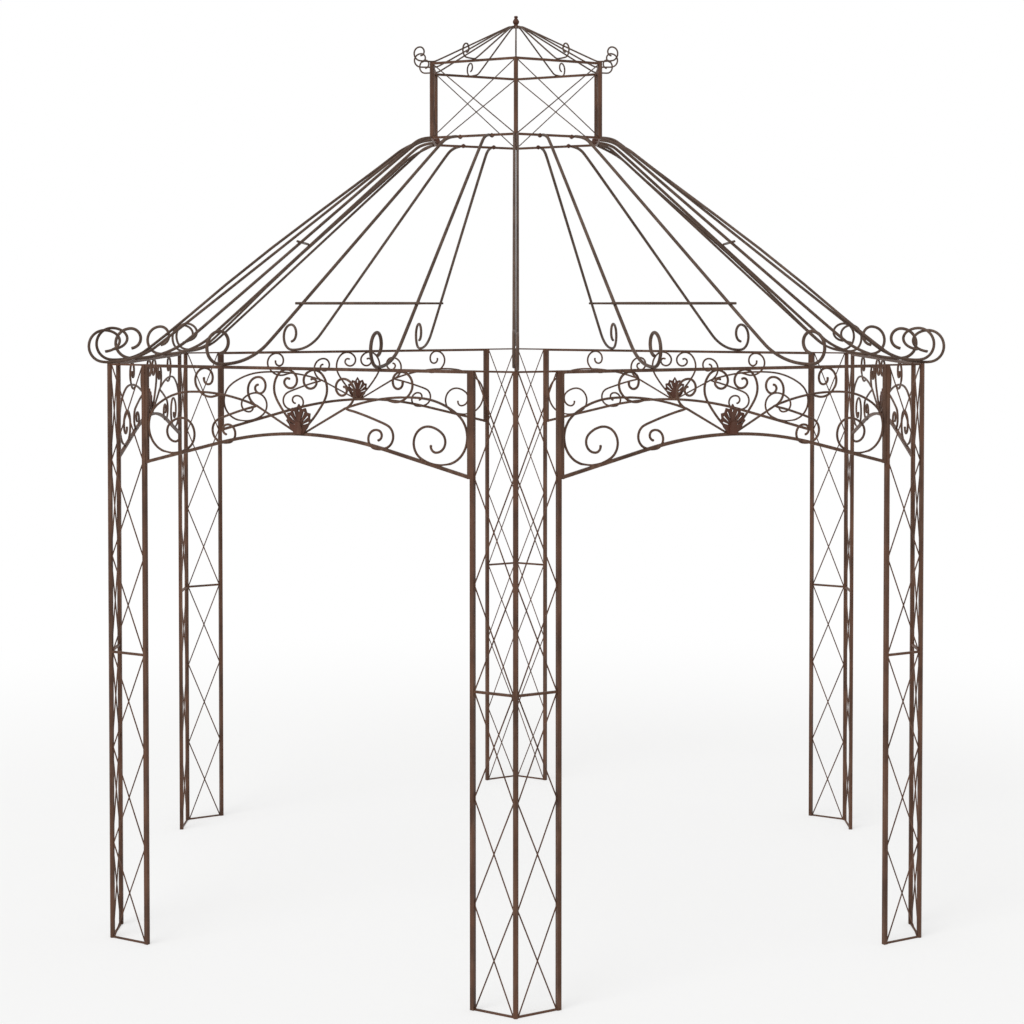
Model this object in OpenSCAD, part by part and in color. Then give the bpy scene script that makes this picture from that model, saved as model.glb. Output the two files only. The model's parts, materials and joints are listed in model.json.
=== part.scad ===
// Hexagonal iron garden pavilion: lattice columns, scrolled arch panels, a ribbed roof and a lantern.
// Z is up, the origin is on the ground at the centre, and a column stands at the front, towards -Y.

/* [Plan and heights] */
// Distance from the centre to the axis of each corner post
corner_radius = 1870; // [1600:10:2200]
// Height of the columns, level with the top of the arch panels
eave_h = 2306; // [2100:2:2600]
// Distance from the centre to the axis of each lantern post
lantern_radius = 420; // [340:5:480]
// Height of the lantern's base rails above the column top
roof_rise = 956; // [700:2:1200]
// Height of the lantern's top rails above its base rails
lantern_h = 320; // [240:2:420]
// Height of the hub where the cap ribs meet above the lantern's top rails
cap_rise = 185; // [140:1:240]

/* [Columns] */
// Width of a column's lattice side, from the corner post's axis to the side post's axis
lattice_w = 178; // [140:2:220]
// Width across the flats of the six-sided corner posts
corner_post_w = 17; // [12:1:24]
// Width of the square side posts
side_post_w = 16; // [12:1:24]
// Thickness of the crossed rods
lattice_rod = 5; // [4:0.5:8]
// Thickness of the rods at the foot and the top of a lattice side
end_rod = 7; // [5:0.5:12]
// Thickness of the bar at the middle of a lattice side
middle_bar = 9; // [6:0.5:14]
// Number of crosses in a lattice side
lattice_crosses = 6; // [4:2:10]

/* [Arch panels] */
// Width of the bars round an arch panel
frame_bar = 12; // [9:1:16]
// Width of the scroll rods
scroll_rod = 6.5; // [5:0.5:9]
// Depth of the arched bar's ends below the column top
spring_depth = 384; // [340:2:430]
// Depth of the arched bar's crown below the column top
crown_depth = 252; // [242:2:290]
// Slope of the arched bar's straight ends, in degrees
arch_slope = 13.5; // [12:0.5:16]
// Distance from the panel's end to the point where its stem branches
branch_inset = 546; // [520:2:580]
// Depth of that point below the column top
branch_depth = 151; // [140:1:160]

/* [Shells] */
// Reach of a cast shell's lobes from the point they fan out from
shell_reach = 76; // [60:1:90]
// Height of that point above the middle of the arched bar
shell_fan_h = 30; // [24:1:36]
// Length of the tip beyond the shell's top lobe
shell_tip = 8; // [4:1:14]
// Thickness of a cast shell
shell_t = 7; // [4:0.5:12]
// Number of lobes with a slit through them
shell_slits = 6; // [4:2:8]

/* [Roof] */
// Thickness of the roof ribs
rib_rod = 11; // [8:0.5:14]
// Clear space between the twin ribs over a corner
twin_space = 1; // [1:0.5:6]
// Distance between the two ribs over a side, along the arch panel
rib_spacing = 715; // [500:10:900]
// Radius of the bend where a rib meets the lantern
rib_top_bend = 150; // [80:5:220]
// Radius of the bend where a rib meets the eave
rib_eave_bend = 350; // [200:10:450]
// Radius of the bend at the lantern of the twin rib that is bowed up
bowed_top_bend = 290; // [220:5:340]
// Radius of the bend at the eave of the twin rib that is bowed up
bowed_eave_bend = 220; // [160:10:280]
// Length of rib that runs level past its seat at the eave
rib_run = 24; // [15:1:60]
// Radius of the outer half of a rib's rolled end
loop_r = 64; // [50:1:80]
// Radius of the inner half of a rib's rolled end
loop_inner_r = 43; // [34:1:54]
// Thickness of the cross ties
tie_rod = 9; // [6:0.5:12]
// Height of the cross ties on the four front and back sides above the column top
tie_rise = 226; // [150:2:340]
// Height of the cross ties on the left and right sides above the column top
high_tie_rise = 494; // [360:2:600]
// Length of tie that runs past each rib
tie_overhang = 14; // [8:1:40]

/* [Lantern] */
// Width across the flats of the six-sided lantern posts
lantern_post_w = 16; // [12:1:22]
// Width of the lantern's rails
lantern_rail = 10; // [7:1:14]
// Thickness of the lantern's crossed braces
brace_rod = 4.5; // [3:0.5:8]
// Thickness of the cap ribs
cap_rod = 6; // [4:0.5:9]
// Radius of the bends at both ends of a cap rib
cap_bend = 60; // [40:5:90]
// Length of cap rib that runs level past its seat
cap_run = 56; // [30:1:70]
// Radius of the outer half of a cap rib's rolled end
cap_loop_r = 30; // [24:1:40]
// Radius of the inner half of a cap rib's rolled end
cap_loop_inner_r = 19; // [14:1:24]
// Diameter of the hub under the finial
hub_d = 40; // [32:1:54]
// Width of the finial's bulb
finial_w = 29; // [20:1:40]
// Height of the finial above its hub
finial_h = 44; // [30:1:60]

/* [Hidden] */
iron = "#5c4537";
columns = ["front", "right_front", "right_back", "back", "left_back", "left_front"];
sides = ["front_right", "right", "back_right", "back_left", "left", "front_left"];

// Room left where a round piece lies against another
seat_gap = 0.3;
// Amount by which fused bars run into each other
weld = 1;
// Sides of a bent rod's section
rod_sides = 6;
// Largest turn and length of one straight step along a bend
turn_step_angle = 20;
step_len = 45;
// Angle round which a rolled end's inner half turns
loop_inner_angle = 175;
// Angle from upright to a shell's lowest lobes, and the share by which those are shorter
shell_spread_angle = 94;
shell_taper = 0.45;
// Depth of the notches between lobes, as a share of their reach
shell_notch = 0.14;
// Ends of a slit and of the eye in the top lobe, as shares of the lobe's reach
slit_span = [0.32, 0.8];
eye_span = [0.72, 0.9];
// Half of a slit's width, as a share of the distance along it
slit_flare = 0.065;
// Half of the width of a shell's neck
shell_neck = 18;
// Height of the raised boss on a shell's neck
boss_t = 5;
// Right edge of the boss, as shares of the neck's half width and the fan point's height
boss_profile = [[0.85, 0], [1, 0.6], [0.7, 1.4], [0.2, 1.6]];
// Finial from its neck to its button, as shares of the bulb's radius and the finial's height
finial_profile = [[0.8, 0], [0.55, 0.12], [0.9, 0.28], [1, 0.4], [0.9, 0.52], [0.42, 0.78],
                  [0.6, 0.84], [0.6, 0.94], [0.4, 1]];

corner_angle = 30;
// Directions of a column's two lattice sides, turned from the X axis
left_turn = 180 - corner_angle;
right_turn = corner_angle;
apothem = corner_radius * cos(corner_angle);
lantern_apothem = lantern_radius * cos(corner_angle);
panel_half = corner_radius / 2 - lattice_w - side_post_w / 2;
// Scrolls are drawn for a panel 750 mm wide to each side and follow the real width
scroll_unit = panel_half / 750;
lantern_base_h = eave_h + roof_rise;
lantern_top_h = lantern_base_h + lantern_h;
apex_h = lantern_top_h + cap_rise;
side_rib_angle = atan(rib_spacing / 2 / apothem);
rib_eave_z = eave_h + rib_rod / 2;
lantern_foot = lantern_base_h - lantern_rail / 2;
lantern_head = lantern_top_h + lantern_rail / 2;
cap_eave_z = lantern_head + cap_rod / 2;

function unit(v) = v / norm(v);
function left_of(v) = [-v[1], v[0]];
function turned(a) = [cos(a), sin(a)];
function mirrored(p) = [-p[0], p[1]];

// Steps that one turn of a path is drawn in
function steps(radius, sweep) =
    ceil(max(abs(sweep) / turn_step_angle, radius * abs(sweep) * PI / 180 / step_len));

// Points of a path from p with heading a: a move [0, length] runs straight, and [radius, sweep] turns
function walk(p, a, moves, i = 0) =
    i == len(moves) ? [p] :
    moves[i][0] == 0 ? concat([p], walk(p + moves[i][1] * turned(a), a, moves, i + 1)) :
    let (radius = moves[i][0],
         sweep = moves[i][1],
         arm = sign(sweep) * radius,
         middle = p + arm * left_of(turned(a)),
         n = steps(radius, sweep))
    concat([for (j = [0 : n - 1]) middle - arm * left_of(turned(a + sweep * j / n))],
           walk(middle - arm * left_of(turned(a + sweep)), a + sweep, moves, i + 1));

function tangent(path, i) = unit(path[min(i + 1, len(path) - 1)] - path[max(i - 1, 0)]);

// Outline of a flat bar of width w along a path, square or pointed at its start
function ribbon(path, w, pointed = false) =
    let (last = len(path) - 1,
         first = pointed ? 1 : 0)
    concat(pointed ? [path[0]] : [],
           [for (i = [first : last]) path[i] + w / 2 * left_of(tangent(path, i))],
           [for (i = [last : -1 : first]) path[i] - w / 2 * left_of(tangent(path, i))]);

// Path of a roof rib in its upright plane, as [distance out, height], from the lantern to its rolled end
function rib_slope(inner, outer, bends) =
    let (run = outer[0] - inner[0],
         drop = inner[1] - outer[1] - bends)
    atan2(drop, run) + asin(bends / norm([run, drop]));
function rib_path(inner, outer, bend_in, bend_out, level, roll_r, roll_inner_r) =
    let (slope = rib_slope(inner, outer, bend_in + bend_out),
         straight = (outer[0] - inner[0] - (bend_in + bend_out) * sin(slope)) / cos(slope))
    walk(inner, 0, [[bend_in, -slope], [0, straight], [bend_out, slope], [0, level],
                    [roll_r, 180], [roll_inner_r, loop_inner_angle]]);

// Round rod along a path in the XZ plane, with a flat along its top and bottom
module bent_rod(path, d) {
    n = rod_sides;
    last = len(path) - 1;
    r = d / 2 / cos(180 / n);
    rings = [for (i = [0 : last]) let (up = left_of(tangent(path, i)))
        for (j = [0 : n - 1]) let (a = 360 * (j + 0.5) / n)
            [path[i][0] + r * cos(a) * up[0], r * sin(a), path[i][1] + r * cos(a) * up[1]]];
    skin = [for (i = [0 : last - 1]) for (j = [0 : n - 1])
        [i * n + j, i * n + (j + 1) % n, (i + 1) * n + (j + 1) % n, (i + 1) * n + j]];
    ends = [[for (j = [n - 1 : -1 : 0]) j], [for (j = [0 : n - 1]) last * n + j]];
    polyhedron(rings, concat(skin, ends));
}

// Six-sided rod between two points of the XZ plane
module straight_rod(a, b, d) {
    along = b - a;
    translate([a[0], 0, a[1]])
        rotate([0, 90 - atan2(along[1], along[0]), 0])
            cylinder(h = norm(along), d = d / cos(30), $fn = 6);
}

module at_corner(k, radius = corner_radius) {
    rotate([0, 0, 60 * k]) translate([0, -radius, 0]) children();
}
module on_side(k, distance = apothem) {
    rotate([0, 0, 60 * k + 30]) translate([0, -distance, 0]) children();
}
// Turns the XZ plane of a rib so that its X points out over a corner or a side
module over_corner(k) {
    rotate([0, 0, 60 * k - 90]) children();
}
module over_side(k, turn = 0) {
    rotate([0, 0, 60 * k - 60 + turn]) children();
}

module six_sided_post(w, z, h) {
    translate([0, 0, z]) cylinder(h = h, d = w / cos(30), $fn = 6);
}

module column_post(k) {
    color(iron) at_corner(k) six_sided_post(corner_post_w, 0, eave_h);
}

// Crossed rods between two uprights, cut flush at the uprights' faces
module crossed_rods(x0, x1, z0, z1, crosses, d) {
    cell = (z1 - z0) / crosses;
    intersection() {
        union() for (i = [0 : crosses - 1]) {
            low = z0 + cell * i;
            over = d * unit([x1 - x0, cell]);
            under = [over[0], -over[1]];
            straight_rod([x0, low] - over, [x1, low + cell] + over, d);
            straight_rod([x0, low + cell] - under, [x1, low] + under, d);
        }
        translate([x0, -d, z0]) cube([x1 - x0, 2 * d, z1 - z0]);
    }
}

module lattice_side(k, turn) {
    inner = corner_post_w / 2;
    outer = lattice_w - side_post_w / 2;
    color(iron) at_corner(k) rotate([0, 0, turn]) {
        translate([outer, -side_post_w / 2, 0]) cube([side_post_w, side_post_w, eave_h]);
        crossed_rods(inner, outer + weld, 0, eave_h, lattice_crosses, lattice_rod);
        for (bar = [[end_rod / 2, end_rod], [eave_h / 2, middle_bar], [eave_h - end_rod / 2, end_rod]])
            translate([inner, -bar[1] / 2, bar[0] - bar[1] / 2])
                cube([outer + weld - inner, bar[1], bar[1]]);
    }
}

// Arched bar: straight sloping ends and a round crown
function arch_path() =
    let (half = panel_half - frame_bar / 2,
         rise = spring_depth - crown_depth,
         bow = sin(arch_slope) * tan(arch_slope) - 1 + cos(arch_slope),
         crown_r = (half * tan(arch_slope) - rise) / bow,
         straight = (half - crown_r * sin(arch_slope)) / cos(arch_slope))
    walk([-half, -spring_depth], arch_slope, [[0, straight], [crown_r, -2 * arch_slope], [0, straight]]);

// Path of a scroll from p with heading a, its moves given for the drawn panel
function scroll(p, a, moves) =
    walk(p, a, [for (m = moves) [m[0] * scroll_unit, m[0] == 0 ? m[1] * scroll_unit : m[1]]]);

// Left half of the scrollwork, measured from the middle of the column top line. A stem rises from the
// arched bar and runs on into the corner scroll, and the other scrolls grow out of it as points
module half_scrolls() {
    branch = [branch_inset - panel_half, -branch_depth];
    stem_foot = [-1.5 * scroll_rod, -crown_depth];
    heart_foot = [-0.5 * scroll_rod, -crown_depth];
    corner_scroll = scroll(branch, 161,
                           [[880, 22], [300, 32], [102, 128], [156, 48], [63, 156], [95, 35],
                            [40, 138], [22, 100]]);
    bar_scroll = scroll(branch + [-198, 34] * scroll_unit, 200,
                        [[78, -81], [48, -128], [36, -104], [21, -171]]);
    arch_scroll = scroll(branch, 193, [[0, 8], [1400, 7.6], [45, 136], [90, 36], [35, 187], [19, 153]]);
    inner_scroll = scroll(branch, 163, [[61, -84], [50, -84], [32, -144], [23, -97], [14, -118]]);
    heart = scroll([0, -crown_depth] + [-33, 33] * scroll_unit, 136,
                   [[505, -14], [80, -75], [52, -100], [31, -182], [15.5, -162]]);
    for (path = [concat([stem_foot], corner_scroll), concat([heart_foot], heart)])
        polygon(ribbon(path, scroll_rod));
    for (path = [concat([corner_scroll[4]], bar_scroll), arch_scroll, inner_scroll])
        polygon(ribbon(path, scroll_rod, pointed = true));
}

module arch_panel(k) {
    color(iron) on_side(k) translate([0, 0, eave_h]) rotate([90, 0, 0]) {
        linear_extrude(frame_bar, center = true) {
            translate([-panel_half, -frame_bar]) square([2 * panel_half, frame_bar]);
            for (x = [-panel_half, panel_half - frame_bar])
                translate([x, -spring_depth - frame_bar / 2]) square([frame_bar, spring_depth]);
            polygon(ribbon(arch_path(), frame_bar));
        }
        linear_extrude(scroll_rod, center = true) {
            half_scrolls();
            mirror([1, 0]) half_scrolls();
        }
    }
}

// Cast shell: a fan of pointed lobes over a neck, with a slit in each lobe between the lowest two and an
// eye in the top one
function shell_rim(a) = shell_reach * (1 - shell_taper * pow(abs(a) / shell_spread_angle, 3));
module shell_outline() {
    lobe_gaps = shell_slits + 2;
    rim = [for (i = [0 : 2 * lobe_gaps])
        let (a = shell_spread_angle * (i / lobe_gaps - 1),
             r = shell_rim(a) * (i % 2 == 0 ? 1 : 1 - shell_notch) + (i == lobe_gaps ? shell_tip : 0))
        [r * sin(a), shell_fan_h + r * cos(a)]];
    polygon(concat([[-shell_neck, 0]], rim, [[shell_neck, 0]]));
}
module shell_openings() {
    lobe_gaps = shell_slits + 2;
    for (i = [1 : lobe_gaps - 1]) {
        a = shell_spread_angle * (2 * i / lobe_gaps - 1);
        span = shell_rim(a) * (2 * i == lobe_gaps ? eye_span : slit_span);
        low = [slit_flare * span[0], span[0]];
        high = [slit_flare * span[1], span[1]];
        translate([0, shell_fan_h]) rotate(-a) polygon([low, high, mirrored(high), mirrored(low)]);
    }
}
module shell_boss() {
    half = [for (p = boss_profile) [p[0] * shell_neck, p[1] * shell_fan_h]];
    polygon(concat(half, [for (i = [len(half) - 1 : -1 : 0]) mirrored(half[i])]));
}
module shell() {
    linear_extrude(shell_t) difference() {
        shell_outline();
        shell_openings();
    }
    linear_extrude(shell_t + boss_t) shell_boss();
}
module arch_shells() {
    color(iron) for (k = [0 : 5])
        on_side(k) translate([0, -frame_bar / 2, eave_h - crown_depth]) rotate([90, 0, 0]) shell();
}

module roof_rib(inner, outer, top_bend = rib_top_bend, eave_bend = rib_eave_bend) {
    path = rib_path(inner, outer, top_bend, eave_bend, rib_run, loop_r, loop_inner_r);
    bent_rod(path, rib_rod);
}
// Twin ribs share their two seats, and one is bowed up between them. It changes sides between the front
// and the back corners, so that the roof mirrors onto itself
module twin_ribs(k) {
    inner = [lantern_radius + lantern_post_w / 2, lantern_base_h];
    outer = [corner_radius, rib_eave_z];
    front_half = k <= 1 || k == 5;
    shift = (front_half ? 1 : -1) * (rib_rod / cos(180 / rod_sides) + twin_space) / 2;
    color(iron) over_corner(k) {
        translate([0, shift, 0]) roof_rib(inner, outer);
        translate([0, -shift, 0]) roof_rib(inner, outer, bowed_top_bend, bowed_eave_bend);
    }
}

function side_rib_inner() =
    let (rail_face = (lantern_apothem + lantern_rail / 2) / cos(side_rib_angle))
    [rail_face + rib_rod / 2 * tan(side_rib_angle) + seat_gap, lantern_base_h];
function side_rib_outer() = [apothem / cos(side_rib_angle), rib_eave_z];
module side_ribs(k) {
    color(iron) for (s = [-1, 1])
        over_side(k, s * side_rib_angle) roof_rib(side_rib_inner(), side_rib_outer());
}

// A tie lies on the slope of the two ribs over a side
module roof_tie(k, rise) {
    slope = rib_slope(side_rib_inner(), side_rib_outer(), rib_top_bend + rib_eave_bend);
    level = rib_eave_bend * sin(slope);
    lift = rib_eave_bend * (1 - cos(slope));
    out = side_rib_outer()[0] - level - (rise - lift) / tan(slope);
    stand_off = rib_rod / 2 + tie_rod / 2 / cos(30) + seat_gap;
    up = stand_off * unit([sin(slope), cos(side_rib_angle) * cos(slope)]);
    half = out * sin(side_rib_angle) + rib_rod / 2 + tie_overhang;
    z = rib_eave_z + rise + up[1];
    on_side(k, out * cos(side_rib_angle) + up[0]) straight_rod([-half, z], [half, z], tie_rod);
}
module roof_ties() {
    color(iron) for (k = [0 : 5]) roof_tie(k, k % 3 == 1 ? high_tie_rise : tie_rise);
}

module lantern_posts() {
    h = lantern_head - lantern_foot;
    color(iron) for (k = [0 : 5])
        at_corner(k, lantern_radius) six_sided_post(lantern_post_w, lantern_foot, h);
}
module lantern_rails(z) {
    reach = lantern_radius - lantern_post_w;
    color(iron) for (k = [0 : 5])
        on_side(k, lantern_apothem) translate([-reach / 2, -lantern_rail / 2, z - lantern_rail / 2])
            cube([reach, lantern_rail, lantern_rail]);
}
module lantern_braces() {
    half = (lantern_radius - lantern_post_w) / 2;
    low = lantern_foot + lantern_rail;
    high = lantern_head - lantern_rail;
    color(iron) for (k = [0 : 5])
        on_side(k, lantern_apothem) crossed_rods(-half, half, low, high, 1, brace_rod);
}

function cap_path(outer) =
    rib_path([hub_d / 2 + seat_gap, apex_h], [outer, cap_eave_z], cap_bend, cap_bend, cap_run,
             cap_loop_r, cap_loop_inner_r);
module cap_corner_ribs() {
    color(iron) for (k = [0 : 5]) over_corner(k) bent_rod(cap_path(lantern_radius), cap_rod);
}
module cap_side_ribs() {
    color(iron) for (k = [0 : 5]) over_side(k) bent_rod(cap_path(lantern_apothem), cap_rod);
}

// Hub and turned finial: neck, bulb, taper and button
module finial() {
    hub_t = 1.5 * cap_rod;
    bulb_r = finial_w / 2;
    color(iron) translate([0, 0, apex_h - hub_t / 2]) {
        cylinder(h = hub_t, d = hub_d, $fn = 48);
        translate([0, 0, hub_t]) rotate_extrude($fn = 48)
            polygon(concat([[0, -weld], [finial_profile[0][0] * bulb_r, -weld]],
                           [for (p = finial_profile) [p[0] * bulb_r, p[1] * finial_h]],
                           [[0, finial_h]]));
    }
}

for (k = [0 : 5]) {
    column_post(k);
    lattice_side(k, left_turn);
    lattice_side(k, right_turn);
    arch_panel(k);
    twin_ribs(k);
    side_ribs(k);
}
arch_shells();
roof_ties();
lantern_posts();
lantern_rails(lantern_base_h);  // lantern_base_rails
lantern_rails(lantern_top_h);  // lantern_top_rails
lantern_braces();
cap_corner_ribs();
cap_side_ribs();
finial();
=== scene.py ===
"""Iron garden pavilion: coatings, round rods and scrolls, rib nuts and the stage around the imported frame."""

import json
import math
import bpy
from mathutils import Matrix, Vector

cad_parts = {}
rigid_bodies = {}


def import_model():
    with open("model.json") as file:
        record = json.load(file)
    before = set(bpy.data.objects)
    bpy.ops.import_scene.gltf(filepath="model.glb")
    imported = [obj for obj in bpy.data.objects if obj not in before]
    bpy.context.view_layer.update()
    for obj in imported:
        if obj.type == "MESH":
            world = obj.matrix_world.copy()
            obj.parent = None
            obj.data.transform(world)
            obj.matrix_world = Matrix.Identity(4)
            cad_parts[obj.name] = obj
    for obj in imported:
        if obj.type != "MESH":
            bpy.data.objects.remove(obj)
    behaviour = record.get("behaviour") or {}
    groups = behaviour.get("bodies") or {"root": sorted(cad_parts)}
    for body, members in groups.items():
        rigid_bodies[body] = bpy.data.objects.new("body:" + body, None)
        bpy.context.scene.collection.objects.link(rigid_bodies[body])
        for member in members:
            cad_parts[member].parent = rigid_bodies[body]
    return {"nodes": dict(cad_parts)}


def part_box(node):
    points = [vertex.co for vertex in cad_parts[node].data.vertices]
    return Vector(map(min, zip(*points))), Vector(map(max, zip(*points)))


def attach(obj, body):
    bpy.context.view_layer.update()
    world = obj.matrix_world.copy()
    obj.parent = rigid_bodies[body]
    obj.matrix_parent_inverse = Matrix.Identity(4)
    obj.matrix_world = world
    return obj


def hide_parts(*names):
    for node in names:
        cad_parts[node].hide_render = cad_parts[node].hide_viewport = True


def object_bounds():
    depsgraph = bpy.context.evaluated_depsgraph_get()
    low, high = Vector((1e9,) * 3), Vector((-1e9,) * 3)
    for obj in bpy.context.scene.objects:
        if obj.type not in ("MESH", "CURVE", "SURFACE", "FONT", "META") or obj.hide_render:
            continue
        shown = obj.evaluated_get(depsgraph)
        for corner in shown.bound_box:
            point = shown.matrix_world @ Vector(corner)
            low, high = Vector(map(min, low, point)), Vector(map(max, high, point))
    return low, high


bl_info = {
    "name": "Iron Garden Pavilion",
    "version": (1, 0, 0),
    "blender": (4, 5, 0),
    "location": "View3D > Sidebar > Pavilion",
    "description": "Finishes an open hexagonal iron pavilion and sets its stage",
    "category": "Add Mesh",
}

import bmesh
import bpy
from mathutils import Matrix, Vector

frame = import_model()
CAD_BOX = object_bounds()

# Corners and sides of the plan, anticlockwise from the front as seen from above
COLUMNS = ("front", "right_front", "right_back", "back", "left_back", "left_front")
SIDES = ("front_right", "right", "back_right", "back_left", "left", "front_left")

# Columns whose bowed twin rib is the clockwise one of the pair
CLOCKWISE_BOWED = ("front", "right_front", "left_front")

# Nodes of the frame, by kind
COLUMN_PIECES = ("post", "left_lattice", "right_lattice")
COLUMN_NODES = [f"{column}_column_{piece}" for column in COLUMNS for piece in COLUMN_PIECES]
PANEL_NODES = [f"{side}_arch_panel" for side in SIDES]
TWIN_NODES = [f"{column}_twin_ribs" for column in COLUMNS]
SIDE_RIB_NODES = [f"{side}_side_ribs" for side in SIDES]
CAP_NODES = ["cap_corner_ribs", "cap_side_ribs"]
LANTERN_NODES = ["lantern_posts", "lantern_base_rails", "lantern_top_rails"]
CAST_NODES = ["arch_shells", "finial"]

MM = 0.001
WHITE = "#ffffff"

# Side of the square image, and width of the camera's sensor
IMAGE_PX = 1024
SENSOR_MM = 36.0

# Direction of the front corner, and angle from one corner to the next
FRONT_DEGREES = -90
CORNER_DEGREES = 60

# Sizes in the coat and in its painted highlight streaks. Real grit is finer: it is drawn coarse enough to show
BLOTCH_MM = 140
STREAK_MM = 14
GRIT_MM = 5
GRIT_HEIGHT_MM = 0.4
# Scale of the streaks' pattern along Z, which draws them out down the length
STREAK_STRETCH = 0.12
# Roughness of the coat on wrought and on cast pieces, and how far the grit changes it either way
WROUGHT_ROUGHNESS = 0.52
CAST_ROUGHNESS = 0.6
ROUGHNESS_CHANGE = 0.1

# Folds up to which the triangles of a rod and of a scroll are paired, and the skew that a pair may have
ROD_FOLD = math.radians(12)
SCROLL_FOLD = math.radians(40)
PAIR_SKEW = math.radians(60)
# Fold from which an edge is the cut end of a rod, and fold up to which an edge is shaded smooth
CUT_END_FOLD = math.radians(75)
SMOOTH_FOLD = math.radians(40)
# Distance within which the corners of loose triangles are merged
MERGE_REACH = 0.01 * MM

# How far from its middle the inner half of a rolled end is looked for, in radii of that half
ROLL_NEAR = 1.5
# How far in from a bowed rib's outermost point its slide starts, in slide lengths
SLIDE_START = 1.5

NUT_SIDES = 6
# How squarely a face looks along an axis to count as an end
END_FACING = 0.9
CHAMFER_WIDTH = 1 * MM
CHAMFER_LENGTH = 0.6 * MM

FLOOR_POINTS = 96


def linear(hex_colour):
    """Linear RGBA of an sRGB colour written as #rrggbb."""
    colour = []
    for start in (1, 3, 5):
        share = int(hex_colour[start:start + 2], 16) / 255
        colour.append(share / 12.92 if share <= 0.04045 else ((share + 0.055) / 1.055) ** 2.4)
    return colour + [1.0]


def cycles_for(size_mm):
    """Noise scale, per metre, whose blotches are about size_mm across."""
    return 1000.0 / size_mm


def corner_angle(corner):
    """Direction from the axis to a corner, counted from the front one. A half number is a side's middle."""
    return math.radians(FRONT_DEGREES + CORNER_DEGREES * corner)


def reach_of(vertex):
    """Distance of a vertex from the pavilion's upright axis."""
    return math.hypot(vertex.co.x, vertex.co.y)


def add_node(tree, kind, inputs=None, **settings):
    """Adds a node, sets its properties, and sets or links its inputs."""
    node = tree.nodes.new(kind)
    for name, value in settings.items():
        setattr(node, name, value)
    for name, value in (inputs or {}).items():
        if isinstance(value, bpy.types.NodeSocket):
            tree.links.new(value, node.inputs[name])
        else:
            node.inputs[name].default_value = value
    return node


class PavilionFinishes(bpy.types.PropertyGroup):
    """Colours of the pavilion's coatings, as sRGB hex values."""

    frame_coat: bpy.props.StringProperty(
        name="Frame Coat", description="Brown coating of posts, rails and lattice sides", default="#5f4131")
    panel_coat: bpy.props.StringProperty(
        name="Panel Coat", description="Brown coating of the arch panels", default="#5b4133")
    rod_coat: bpy.props.StringProperty(
        name="Rod Coat", description="Greyish brown coating of the roof rods", default="#5b493e")
    cast_coat: bpy.props.StringProperty(
        name="Cast Coat", description="Rust brown coating of shells, finial and nuts", default="#59382c")
    grime: bpy.props.StringProperty(
        name="Grime", description="Dark brown where the coat is thick or dirty", default="#3a281e")
    # Painted highlight: pale brown streaks down the length that stand for the sheen along the rods
    painted_highlight: bpy.props.StringProperty(
        name="Painted Highlight", description="Pale brown where the coat is rubbed thin", default="#7d6353")


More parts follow.
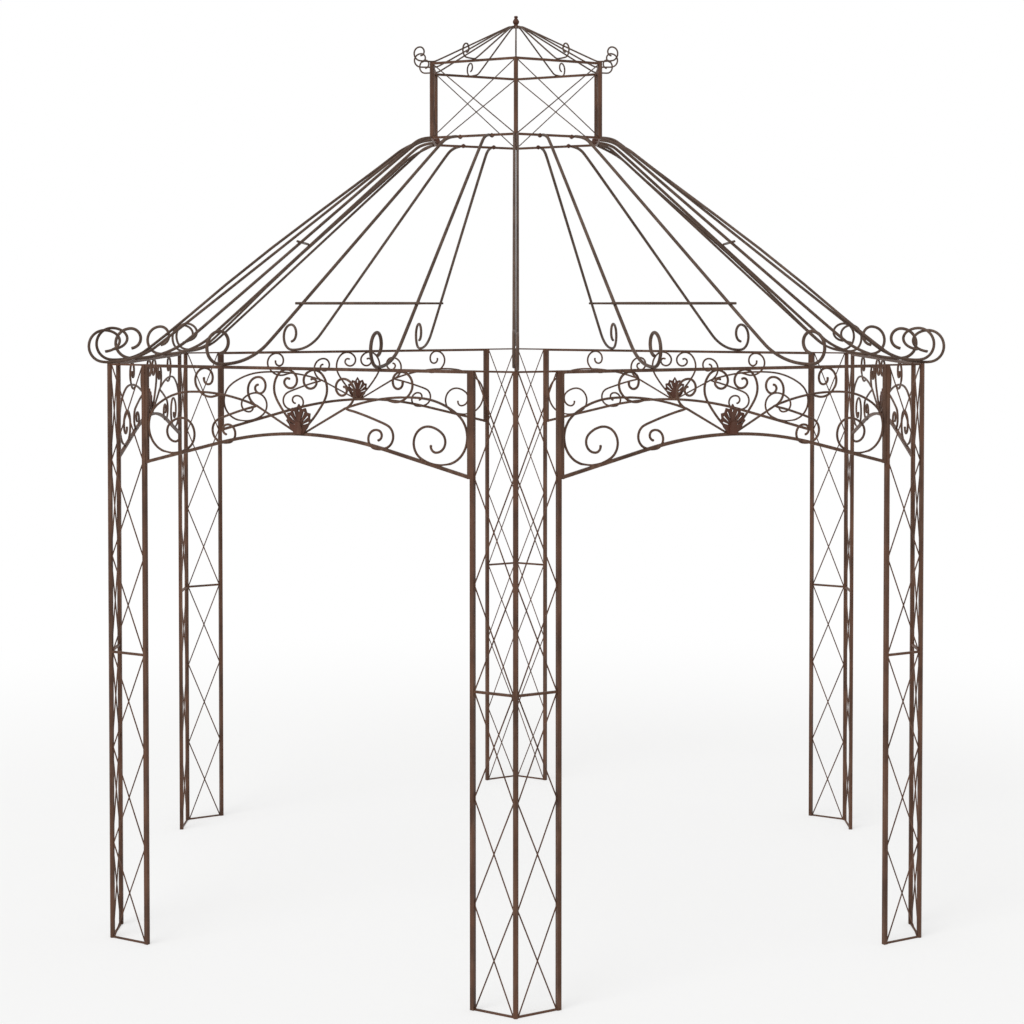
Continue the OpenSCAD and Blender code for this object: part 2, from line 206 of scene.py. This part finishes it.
class PavilionSizes(bpy.types.PropertyGroup):
    """Sizes of the pieces that are added to the frame."""

    twin_rib: bpy.props.FloatProperty(
        name="Twin Rib", description="Diameter of the twin ribs over the corners",
        default=11.2 * MM, min=8 * MM, max=16 * MM, subtype="DISTANCE", unit="LENGTH")
    side_rib: bpy.props.FloatProperty(
        name="Side Rib", description="Diameter of the ribs over the sides",
        default=13 * MM, min=8 * MM, max=16 * MM, subtype="DISTANCE", unit="LENGTH")
    cap_rib: bpy.props.FloatProperty(
        name="Cap Rib", description="Diameter of the lantern's cap ribs",
        default=7 * MM, min=4 * MM, max=10 * MM, subtype="DISTANCE", unit="LENGTH")
    tie: bpy.props.FloatProperty(
        name="Tie", description="Diameter of the cross ties",
        default=11 * MM, min=6 * MM, max=14 * MM, subtype="DISTANCE", unit="LENGTH")
    bow_drop: bpy.props.FloatProperty(
        name="Bow Drop", description="How far a bowed twin rib is lowered beside the lantern",
        default=26 * MM, min=0, max=30 * MM, subtype="DISTANCE", unit="LENGTH")
    bow_reach: bpy.props.FloatProperty(
        name="Bow Reach", description="Distance from the lantern post to where it is lowered most",
        default=200 * MM, min=100 * MM, max=400 * MM, subtype="DISTANCE", unit="LENGTH")
    slide_back: bpy.props.FloatProperty(
        name="Slide Back", description="How far a bowed rib's rolled end stands in from its neighbour's",
        default=36 * MM, min=0, max=60 * MM, subtype="DISTANCE", unit="LENGTH")
    slide_rise: bpy.props.FloatProperty(
        name="Slide Rise", description="How far that rolled end stands above its neighbour's",
        default=9 * MM, min=0, max=20 * MM, subtype="DISTANCE", unit="LENGTH")
    slide_length: bpy.props.FloatProperty(
        name="Slide Length", description="Length of rib over which the slide builds up",
        default=500 * MM, min=200 * MM, max=800 * MM, subtype="DISTANCE", unit="LENGTH")
    roll_outer: bpy.props.FloatProperty(
        name="Roll Outer", description="Radius of the outer half of a twin rib's rolled end",
        default=64 * MM, min=50 * MM, max=80 * MM, subtype="DISTANCE", unit="LENGTH")
    roll_inner: bpy.props.FloatProperty(
        name="Roll Inner", description="Radius of the inner half of a twin rib's rolled end",
        default=43 * MM, min=34 * MM, max=54 * MM, subtype="DISTANCE", unit="LENGTH")
    roll_opening: bpy.props.FloatProperty(
        name="Roll Opening", description="How far the inner half of a twin rib's rolled end is opened out",
        default=22 * MM, min=0, max=30 * MM, subtype="DISTANCE", unit="LENGTH")
    rib_spacing: bpy.props.FloatProperty(
        name="Rib Spacing", description="Distance between the two ribs over a side at the eave",
        default=715 * MM, min=500 * MM, max=900 * MM, subtype="DISTANCE", unit="LENGTH")
    scroll_reach: bpy.props.FloatProperty(
        name="Scroll Reach", description="How far a panel's scroll rods reach from its middle plane at most",
        default=4.5 * MM, min=2 * MM, max=5.5 * MM, subtype="DISTANCE", unit="LENGTH")
    nut_width: bpy.props.FloatProperty(
        name="Nut Width", description="Width across the flats of a rib nut",
        default=17 * MM, min=12 * MM, max=24 * MM, subtype="DISTANCE", unit="LENGTH")
    nut_height: bpy.props.FloatProperty(
        name="Nut Height", description="Height of a rib nut",
        default=9 * MM, min=5 * MM, max=14 * MM, subtype="DISTANCE", unit="LENGTH")
    thread_width: bpy.props.FloatProperty(
        name="Thread Width", description="Diameter of a rib's threaded end",
        default=10 * MM, min=6 * MM, max=12 * MM, subtype="DISTANCE", unit="LENGTH")
    thread_reach: bpy.props.FloatProperty(
        name="Thread Reach", description="Length of threaded end between a rail and its nut",
        default=12 * MM, min=0, max=30 * MM, subtype="DISTANCE", unit="LENGTH")
    thread_end: bpy.props.FloatProperty(
        name="Thread End", description="Length of threaded end that shows past a nut",
        default=3 * MM, min=1 * MM, max=10 * MM, subtype="DISTANCE", unit="LENGTH")


class PavilionStage(bpy.types.PropertyGroup):
    """Camera, light and floor."""

    camera_place: bpy.props.FloatVectorProperty(
        name="Camera Place", description="Where the camera stands",
        default=(0.005, -9.089, 2.544), subtype="TRANSLATION", unit="LENGTH")
    camera_pitch: bpy.props.FloatProperty(
        name="Camera Pitch", description="Angle at which the camera looks up",
        default=-0.0275, subtype="ANGLE", unit="ROTATION")
    focal_px: bpy.props.FloatProperty(
        name="Focal Length", description="Focal length in pixels of the square image",
        default=2046.5, min=500)
    principal_px: bpy.props.FloatVectorProperty(
        name="Principal Point", description="Pixel that the camera's axis meets",
        size=2, default=(517.1, 360.0))
    sky_light: bpy.props.FloatProperty(
        name="Sky Light", description="Strength of the even light from all round",
        default=0.62, min=0)
    key_light: bpy.props.FloatProperty(
        name="Key Light", description="Strength of the soft light from the upper left",
        default=1.5, min=0)
    key_place: bpy.props.FloatVectorProperty(
        name="Key Place", description="Place from which the soft light shines towards the origin",
        default=(-6, -8, 9), subtype="TRANSLATION", unit="LENGTH")
    key_spread: bpy.props.FloatProperty(
        name="Key Spread", description="Angle that the soft light fills in the sky",
        default=math.radians(40), min=0, max=math.pi, subtype="ANGLE", unit="ROTATION")
    paper: bpy.props.StringProperty(
        name="Paper", description="Colour of the floor, as an sRGB hex value", default="#f4f4f3")
    floor_radius: bpy.props.FloatProperty(
        name="Floor Radius", description="Radius of the floor",
        default=40.0, min=5, subtype="DISTANCE", unit="LENGTH")
    shadow_radius: bpy.props.FloatProperty(
        name="Shadow Radius", description="Distance from the axis up to which the floor shows shadow most",
        default=2.5, min=0, subtype="DISTANCE", unit="LENGTH")
    white_radius: bpy.props.FloatProperty(
        name="White Radius", description="Distance from the axis at which the floor is plain white",
        default=7.0, min=0, subtype="DISTANCE", unit="LENGTH")
    shadow_white: bpy.props.FloatProperty(
        name="Shadow White", description="Share of plain white in the floor where it shows shadow most",
        default=0.55, min=0, max=1, subtype="FACTOR")


def coated_iron(name, coat, finishes, highlight_amount, roughness=WROUGHT_ROUGHNESS):
    """Iron with a brushed antique brown coat: satin, blotched by hand brushing, with darker runs where it
    pooled, and paler streaks down the length that are a painted highlight along the rods."""
    material = bpy.data.materials.new(name)
    material.use_nodes = True
    tree = material.node_tree
    tree.nodes.clear()
    place = add_node(tree, "ShaderNodeTexCoord").outputs["Object"]
    blotch = add_node(tree, "ShaderNodeTexNoise", {
        "Vector": place, "Scale": cycles_for(BLOTCH_MM), "Detail": 5.0, "Roughness": 0.6})
    along = add_node(tree, "ShaderNodeMapping", {"Vector": place, "Scale": (1.0, 1.0, STREAK_STRETCH)})
    streak = add_node(tree, "ShaderNodeTexNoise", {
        "Vector": along.outputs["Vector"], "Scale": cycles_for(STREAK_MM), "Detail": 3.0, "Roughness": 0.55})
    grit = add_node(tree, "ShaderNodeTexNoise", {
        "Vector": place, "Scale": cycles_for(GRIT_MM), "Detail": 2.0, "Roughness": 0.7})
    pooled = add_node(tree, "ShaderNodeMapRange", {
        "Value": blotch.outputs["Fac"], "From Min": 0.62, "From Max": 0.36, "To Min": 0.0, "To Max": 0.7})
    # Paler streaks down the length: a painted highlight along the rods
    highlight_streaks = add_node(tree, "ShaderNodeMapRange", {
        "Value": streak.outputs["Fac"], "From Min": 0.5, "From Max": 0.72, "To Min": 0.0, "To Max": highlight_amount})
    dark = add_node(tree, "ShaderNodeMix", {
        "Factor": pooled.outputs["Result"], "A": linear(coat), "B": linear(finishes.grime)},
        data_type="RGBA")
    pale = add_node(tree, "ShaderNodeMix", {
        "Factor": highlight_streaks.outputs["Result"], "A": dark.outputs["Result"], "B": linear(finishes.painted_highlight)},
        data_type="RGBA")
    sheen = add_node(tree, "ShaderNodeMapRange", {
        "Value": grit.outputs["Fac"], "From Min": 0.3, "From Max": 0.7,
        "To Min": roughness - ROUGHNESS_CHANGE, "To Max": roughness + ROUGHNESS_CHANGE})
    relief = add_node(tree, "ShaderNodeBump", {
        "Height": grit.outputs["Fac"], "Strength": 0.25, "Distance": GRIT_HEIGHT_MM * MM})
    shader = add_node(tree, "ShaderNodeBsdfPrincipled", {
        "Base Color": pale.outputs["Result"], "Roughness": sheen.outputs["Result"],
        "Specular IOR Level": 0.2, "Normal": relief.outputs["Normal"]})
    add_node(tree, "ShaderNodeOutputMaterial", {"Surface": shader.outputs["BSDF"]})
    return material


def coat_nodes(nodes, material):
    """Gives CAD nodes a coating in place of their plain slot material."""
    for name in nodes:
        for slot in frame["nodes"][name].material_slots:
            slot.material = material


def deselect_all():
    """Leaves edit mode and deselects every object."""
    if bpy.context.mode != "OBJECT":
        bpy.ops.object.mode_set(mode="OBJECT")
    bpy.ops.object.select_all(action="DESELECT")


def activate(piece):
    """Makes a piece the only one selected."""
    deselect_all()
    piece.select_set(True)
    bpy.context.view_layer.objects.active = piece


def merged_copy(node, name):
    """Copy of a CAD node's mesh as an object of its own, its loose triangles merged."""
    activate(frame["nodes"][node])
    bpy.ops.object.duplicate()
    copy = bpy.context.object
    copy.name = copy.data.name = name
    copy.parent = None
    # What the frame notes on a node isn't true of its copy
    for key in list(copy.keys()):
        del copy[key]
    bpy.ops.mesh.customdata_custom_splitnormals_clear()
    bpy.ops.object.mode_set(mode="EDIT")
    bpy.ops.mesh.select_all(action="SELECT")
    bpy.ops.mesh.remove_doubles(threshold=MERGE_REACH)
    bpy.ops.object.mode_set(mode="OBJECT")
    return copy


def finish_piece(piece, material):
    """Coats a piece and ties it to the frame."""
    piece.data.materials.clear()
    piece.data.materials.append(material)
    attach(piece, "root")


def select_parts(piece, kind, wanted):
    """Selects those vertices or faces of a piece in edit mode for which wanted(part) is true."""
    bpy.ops.mesh.select_mode(type=kind)
    bpy.ops.mesh.select_all(action="DESELECT")
    bpy.ops.object.mode_set(mode="OBJECT")
    for part in piece.data.vertices if kind == "VERT" else piece.data.polygons:
        part.select = wanted(part)
    bpy.ops.object.mode_set(mode="EDIT")


class PAVILION_OT_frame_coat(bpy.types.Operator):
    """Coat the columns and the lantern's posts and rails"""

    bl_idname = "pavilion.frame_coat"
    bl_label = "Coat Columns and Lantern"
    bl_options = {"REGISTER", "UNDO"}

    def execute(self, context):
        finishes = context.scene.pavilion_finishes
        # Iron posts and lattice rods, brushed brown: a satin coat with painted highlight streaks
        coat = coated_iron("brushed brown iron, posts", finishes.frame_coat, finishes, highlight_amount=0.35)
        coat_nodes(COLUMN_NODES + LANTERN_NODES, coat)
        return {"FINISHED"}


class PAVILION_OT_arch_panels(bpy.types.Operator):
    """Round the scrolls of the arch panels off, and coat the panels"""

    bl_idname = "pavilion.arch_panels"
    bl_label = "Round Scrolls and Coat Arch Panels"
    bl_options = {"REGISTER", "UNDO"}

    def execute(self, context):
        finishes = context.scene.pavilion_finishes
        sizes = context.scene.pavilion_sizes
        # Wrought iron bars and scrolls, brushed brown: the same satin coat, its painted highlight streaks
        # stronger
        coat = coated_iron("brushed brown iron, panels", finishes.panel_coat, finishes, highlight_amount=0.45)
        for side, node in enumerate(PANEL_NODES):
            panel = self.rounded(node, side, sizes.scroll_reach)
            finish_piece(panel, coat)
            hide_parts(node)
        return {"FINISHED"}

    def rounded(self, node, side, scroll_reach):
        """Copy of a panel with round scroll rods: its faces within scroll_reach of its middle plane."""
        low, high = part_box("right_arch_panel")
        middle = (low.x + high.x) / 2
        outward = Matrix.Rotation(corner_angle(side + 0.5), 4, "Z") @ Vector((1, 0, 0))
        panel = merged_copy(node, f"round_{node}")
        vertices = panel.data.vertices

        def on_scroll(face):
            """Whether all of a face is as near the panel's middle plane as the scroll rods are."""
            return all(abs(vertices[i].co.dot(outward) - middle) < scroll_reach for i in face.vertices)

        bpy.ops.object.mode_set(mode="EDIT")
        select_parts(panel, "FACE", on_scroll)
        bpy.ops.mesh.tris_convert_to_quads(face_threshold=SCROLL_FOLD, shape_threshold=PAIR_SKEW)
        # The rows of faces where a scroll meets a bar stay as they are
        bpy.ops.mesh.select_less()
        bpy.ops.mesh.subdivide(number_cuts=2, smoothness=1.0, quadcorner="INNERVERT")
        bpy.ops.object.mode_set(mode="OBJECT")
        bpy.ops.object.shade_smooth_by_angle(angle=SMOOTH_FOLD)
        return panel


class PAVILION_OT_roof_rods(bpy.types.Operator):
    """Round the six-sided roof ribs, ties and cap ribs off, and coat them and the lantern's braces"""

    bl_idname = "pavilion.roof_rods"
    bl_label = "Round and Coat Roof Rods"
    bl_options = {"REGISTER", "UNDO"}

    def execute(self, context):
        finishes = context.scene.pavilion_finishes
        sizes = context.scene.pavilion_sizes
        # Bent iron rod, brushed a greyer brown: a satin coat with fainter painted highlight streaks
        coat = coated_iron("brushed grey brown iron, rods", finishes.rod_coat, finishes, highlight_amount=0.25)
        coat_nodes(["lantern_braces"], coat)
        diameters = {"roof_ties": sizes.tie}
        diameters.update({node: sizes.twin_rib for node in TWIN_NODES})
        diameters.update({node: sizes.side_rib for node in SIDE_RIB_NODES})
        diameters.update({node: sizes.cap_rib for node in CAP_NODES})
        for node, diameter in diameters.items():
            rods = self.rounded(node, diameter)
            if node in TWIN_NODES:
                self.open_rolls(rods, diameter, sizes)
                self.fit_bowed_rib(rods, TWIN_NODES.index(node), sizes)
            finish_piece(rods, coat)
            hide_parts(node)
        return {"FINISHED"}

    def open_rolls(self, rods, diameter, sizes):
        """Opens the inner half of a pair's rolled ends out, so that each is about a full ring."""
        vertices = rods.data.vertices
        rim = max(reach_of(vertex) for vertex in vertices) - diameter / 2
        foot = min(vertex.co.z for vertex in vertices) + diameter / 2
        for vertex in vertices:
            reach = reach_of(vertex)
            inward = rim - sizes.roll_outer - reach
            up = vertex.co.z - foot - 2 * sizes.roll_outer + sizes.roll_inner
            from_middle = math.hypot(inward, up)
            if inward > 0 and from_middle < ROLL_NEAR * sizes.roll_inner:
                share = 1 - sizes.roll_opening * inward / from_middle / reach
                vertex.co.x *= share
                vertex.co.y *= share

    def fit_bowed_rib(self, rods, corner, sizes):
        """Lowers the bowed rib of a corner's pair beside the lantern, where it lies closer to the other one,
        and slides its rolled end up the roof, because its way down to the eave is the longer one."""
        out = corner_angle(corner)
        bowed_side = -1 if COLUMNS[corner] in CLOCKWISE_BOWED else 1
        post_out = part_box("lantern_posts")[1].y
        rim = max(reach_of(vertex) for vertex in rods.data.vertices)
        for vertex in rods.data.vertices:
            across = vertex.co.y * math.cos(out) - vertex.co.x * math.sin(out)
            if across * bowed_side <= 0:
                continue
            reach = reach_of(vertex)
            bow = max(0, reach - post_out) / sizes.bow_reach
            slide = min(max((reach - rim) / sizes.slide_length + SLIDE_START, 0), 1)
            slide *= slide * (3 - 2 * slide)
            vertex.co.z += slide * sizes.slide_rise - sizes.bow_drop * bow * math.exp(1 - bow)
            vertex.co.x -= slide * sizes.slide_back * math.cos(out)
            vertex.co.y -= slide * sizes.slide_back * math.sin(out)

    def rounded(self, node, diameter):
        """Round copy of a node of six-sided rods, its bends smooth and its ends cut square."""
        rods = merged_copy(node, f"round_{node}")
        bpy.ops.object.mode_set(mode="EDIT")
        bpy.ops.mesh.select_all(action="SELECT")
        bpy.ops.mesh.tris_convert_to_quads(face_threshold=ROD_FOLD, shape_threshold=PAIR_SKEW)
        bpy.ops.mesh.select_mode(type="EDGE")
        bpy.ops.mesh.select_all(action="DESELECT")
        bpy.ops.mesh.edges_select_sharp(sharpness=CUT_END_FOLD)
        bpy.ops.transform.edge_crease(value=1.0)
        bpy.ops.object.mode_set(mode="OBJECT")
        smooth = rods.modifiers.new("smooth", "SUBSURF")
        smooth.levels = smooth.render_levels = 2
        bpy.ops.object.modifier_apply(modifier=smooth.name)
        bpy.ops.object.mode_set(mode="EDIT")
        bpy.ops.mesh.select_all(action="SELECT")
        bpy.ops.transform.shrink_fatten(value=(diameter - self.rod_width(rods)) / 2)
        bpy.ops.object.mode_set(mode="OBJECT")
        bpy.ops.object.shade_smooth_by_angle(angle=SMOOTH_FOLD)
        return rods

    def rod_width(self, rods):
        """Diameter of round rods, from their volume and skin: it is four times the ratio of the two."""
        body = bmesh.new()
        body.from_mesh(rods.data)
        skin = sum(face.calc_area() for face in body.faces)
        width = 4 * body.calc_volume() / skin
        body.free()
        return width


class PAVILION_OT_rib_nuts(bpy.types.Operator):
    """Model the nuts on the side ribs' threaded ends, inside the lantern's base rails"""

    bl_idname = "pavilion.rib_nuts"
    bl_label = "Add Rib Nuts"
    bl_options = {"REGISTER", "UNDO"}

    def execute(self, context):
        sizes = context.scene.pavilion_sizes
        finishes = context.scene.pavilion_finishes
        # Iron nuts, rust brown: a duller coat with faint painted highlight streaks
        coat = coated_iron(
            "rust brown nuts", finishes.cast_coat, finishes, highlight_amount=0.2, roughness=CAST_ROUGHNESS)
        nuts = self.set_nuts(self.model_nut(sizes), sizes)
        finish_piece(nuts, coat)
        return {"FINISHED"}

    def model_nut(self, sizes):
        """One nut at the origin, with its threaded end along Y from the rail, at Y = 0, to -Y."""
        deselect_all()
        to_flat = math.cos(math.pi / NUT_SIDES)
        nut_middle = -sizes.thread_reach - sizes.nut_height / 2
        points = 2 * NUT_SIDES
        bpy.ops.mesh.primitive_cylinder_add(
            vertices=points, radius=sizes.nut_width / 2 / to_flat, depth=sizes.nut_height,
            location=(0, nut_middle, 0), rotation=(math.pi / 2, 0, 0))
        bpy.ops.object.transform_apply(location=True, rotation=True, scale=True)
        nut = bpy.context.object
        bpy.ops.object.mode_set(mode="EDIT")

        def corner(vertex):
            """Whether a vertex lies on a corner of the hexagon rather than in the middle of a flat."""
            return abs(math.sin(NUT_SIDES / 2 * math.atan2(vertex.co.x, vertex.co.z))) < 0.5

        def pull_in(wanted):
            """Moves the wanted vertices towards the axis, as far as a flat lies in from its corners."""
            select_parts(nut, "VERT", wanted)
            bpy.ops.transform.resize(value=(to_flat, 1, to_flat), center_override=(0, nut_middle, 0))

        pull_in(lambda vertex: not corner(vertex))
        select_parts(nut, "FACE", lambda face: abs(face.normal.y) > END_FACING)
        bpy.ops.mesh.inset(thickness=(sizes.nut_width - sizes.thread_width) / 2)
        ring = (sizes.nut_width + sizes.thread_width) / 4
        pull_in(lambda vertex: corner(vertex) and Vector((vertex.co.x, vertex.co.z)).length < ring)
        for side, length in ((1, sizes.thread_reach), (-1, sizes.thread_end)):
            select_parts(nut, "FACE", lambda face: (
                face.normal.y * side > END_FACING and len(face.vertices) == points))
            bpy.ops.mesh.extrude_region_move(TRANSFORM_OT_translate={"value": (0, side * length, 0)})
        # A small chamfer on the free end, which is still selected
        bpy.ops.mesh.inset(thickness=CHAMFER_WIDTH)
        bpy.ops.transform.translate(value=(0, -CHAMFER_LENGTH, 0))
        bpy.ops.object.mode_set(mode="OBJECT")
        return nut

    def set_nuts(self, nut, sizes):
        """Copies of a nut at both ribs of each side, joined into one piece."""
        rail_low, rail_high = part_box("lantern_base_rails")
        # A rail is as thick as it is tall
        rail_width = rail_high.z - rail_low.z
        inner_face = rail_high.x - rail_width
        panel_low, panel_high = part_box("right_arch_panel")
        # The ribs of a side converge towards the axis, so their spacing at the rail follows from the eave's
        spread = sizes.rib_spacing / (panel_low.x + panel_high.x)
        copies = []
        for side in range(len(SIDES)):
            turn = Matrix.Rotation(math.radians(CORNER_DEGREES * (side + 0.5)), 4, "Z")
            for hand in (-1, 1):
                copy = nut.copy()
                copy.data = nut.data.copy()
                bpy.context.collection.objects.link(copy)
                seat = Vector((hand * spread * inner_face, -inner_face, (rail_low.z + rail_high.z) / 2))
                copy.data.transform(turn @ Matrix.Translation(seat) @ Matrix.Rotation(math.pi, 4, "Z"))
                copies.append(copy)
        bpy.data.objects.remove(nut)
        activate(copies[0])
        for copy in copies:
            copy.select_set(True)
        bpy.ops.object.join()
        bpy.ops.object.shade_flat()
        nuts = bpy.context.object
        nuts.name = nuts.data.name = "rib_nuts"
        return nuts


class PAVILION_OT_cast_coat(bpy.types.Operator):
    """Coat the cast shells and the finial"""

    bl_idname = "pavilion.cast_coat"
    bl_label = "Coat Castings"
    bl_options = {"REGISTER", "UNDO"}

    def execute(self, context):
        finishes = context.scene.pavilion_finishes
        # Sand-cast iron, rust brown: duller and redder than the wrought pieces, with painted highlight streaks
        coat = coated_iron(
            "rust brown cast iron", finishes.cast_coat, finishes, highlight_amount=0.3, roughness=CAST_ROUGHNESS)
        coat_nodes(CAST_NODES, coat)
        return {"FINISHED"}


class PAVILION_OT_stage(bpy.types.Operator):
    """Set the floor, the light and the camera"""

    bl_idname = "pavilion.stage"
    bl_label = "Set Stage"
    bl_options = {"REGISTER", "UNDO"}

    def execute(self, context):
        stage = context.scene.pavilion_stage
        self.lay_floor(stage)
        self.light(context, stage)
        self.place_camera(context, stage)
        context.scene.view_settings.view_transform = "Standard"
        return {"FINISHED"}

    def lay_floor(self, stage):
        """Lays a round floor under the columns' feet."""
        deselect_all()
        bpy.ops.mesh.primitive_circle_add(
            vertices=FLOOR_POINTS, radius=stage.floor_radius, fill_type="NGON",
            location=(0, 0, CAD_BOX[0].z))
        floor = bpy.context.object
        floor.name = "studio_floor"
        # Matt white paper that keeps the shadow near the object and turns to plain white further out
        material = bpy.data.materials.new("white paper")
        material.use_nodes = True
        tree = material.node_tree
        tree.nodes.clear()
        place = add_node(tree, "ShaderNodeTexCoord").outputs["Object"]
        distance = add_node(tree, "ShaderNodeVectorMath", {0: place}, operation="LENGTH")
        fade = add_node(tree, "ShaderNodeMapRange", {
            "Value": distance.outputs["Value"], "From Min": stage.shadow_radius,
            "From Max": stage.white_radius, "To Min": stage.shadow_white, "To Max": 1.0},
            interpolation_type="SMOOTHSTEP")
        paper = add_node(tree, "ShaderNodeBsdfDiffuse", {"Color": linear(stage.paper)})
        white = add_node(tree, "ShaderNodeEmission", {"Color": linear(WHITE), "Strength": 1.0})
        seen = self.seen_rays(tree)
        share = add_node(tree, "ShaderNodeMath", {0: fade.outputs["Result"], 1: seen}, operation="MULTIPLY")
        mix = add_node(tree, "ShaderNodeMixShader", {
            0: share.outputs["Value"], 1: paper.outputs["BSDF"], 2: white.outputs["Emission"]})
        add_node(tree, "ShaderNodeOutputMaterial", {"Surface": mix.outputs["Shader"]})
        floor.data.materials.append(material)

    def seen_rays(self, tree):
        """1 for rays that show the backdrop: from the camera, off a glossy surface or through glass."""
        rays = add_node(tree, "ShaderNodeLightPath")
        shown = add_node(tree, "ShaderNodeMath", {
            0: rays.outputs["Is Camera Ray"], 1: rays.outputs["Is Glossy Ray"]}, operation="MAXIMUM")
        both = add_node(tree, "ShaderNodeMath", {
            0: shown.outputs["Value"], 1: rays.outputs["Is Transmission Ray"]}, operation="MAXIMUM")
        return both.outputs["Value"]

    def light(self, context, stage):
        """Sets an even white sky and one soft light from the upper left."""
        world = bpy.data.worlds.new("studio")
        context.scene.world = world
        world.use_nodes = True
        tree = world.node_tree
        tree.nodes.clear()
        strength = add_node(tree, "ShaderNodeMapRange", {
            "Value": self.seen_rays(tree), "To Min": stage.sky_light, "To Max": 1.0})
        sky = add_node(tree, "ShaderNodeBackground", {
            "Color": linear(WHITE), "Strength": strength.outputs["Result"]})
        add_node(tree, "ShaderNodeOutputWorld", {"Surface": sky.outputs["Background"]})
        deselect_all()
        bpy.ops.object.light_add(type="SUN", location=stage.key_place)
        key = context.object
        key.name = "key_light"
        key.data.energy = stage.key_light
        key.data.angle = stage.key_spread
        key.rotation_euler = (-Vector(stage.key_place)).to_track_quat("-Z", "Y").to_euler()

    def place_camera(self, context, stage):
        """Places the camera as it stood for the photo."""
        deselect_all()
        bpy.ops.object.camera_add(
            location=stage.camera_place, rotation=(math.pi / 2 + stage.camera_pitch, 0, 0))
        camera = context.object
        camera.name = "photo_camera"
        camera.data.sensor_width = SENSOR_MM
        camera.data.lens = stage.focal_px / IMAGE_PX * SENSOR_MM
        middle = IMAGE_PX / 2
        camera.data.shift_x = (middle - stage.principal_px[0]) / IMAGE_PX
        camera.data.shift_y = (stage.principal_px[1] - middle) / IMAGE_PX
        camera.data.dof.use_dof = False
        context.scene.camera = camera


class PAVILION_PT_tools(bpy.types.Panel):
    """Steps that dress the pavilion, in order"""

    bl_label = "Pavilion"
    bl_idname = "PAVILION_PT_tools"
    bl_space_type = "VIEW_3D"
    bl_region_type = "UI"
    bl_category = "Pavilion"

    def draw(self, context):
        for step in STEPS:
            self.layout.operator(step.bl_idname)


STEPS = (
    PAVILION_OT_frame_coat, PAVILION_OT_arch_panels, PAVILION_OT_roof_rods, PAVILION_OT_rib_nuts,
    PAVILION_OT_cast_coat, PAVILION_OT_stage)
GROUPS = {
    "pavilion_finishes": PavilionFinishes,
    "pavilion_sizes": PavilionSizes,
    "pavilion_stage": PavilionStage,
}
CLASSES = (*GROUPS.values(), *STEPS, PAVILION_PT_tools)


def register():
    """Registers the classes and hangs the groups of properties on the scene."""
    for cls in CLASSES:
        bpy.utils.register_class(cls)
    for name, group in GROUPS.items():
        setattr(bpy.types.Scene, name, bpy.props.PointerProperty(type=group))


def unregister():
    """Takes back what register did."""
    for name in GROUPS:
        delattr(bpy.types.Scene, name)
    for cls in reversed(CLASSES):
        bpy.utils.unregister_class(cls)


def main():
    """Dresses the frame step by step."""
    register()
    bpy.ops.pavilion.frame_coat()
    bpy.ops.pavilion.arch_panels()
    bpy.ops.pavilion.roof_rods()
    bpy.ops.pavilion.rib_nuts()
    bpy.ops.pavilion.cast_coat()
    bpy.ops.pavilion.stage()


if __name__ == "__main__":
    main()
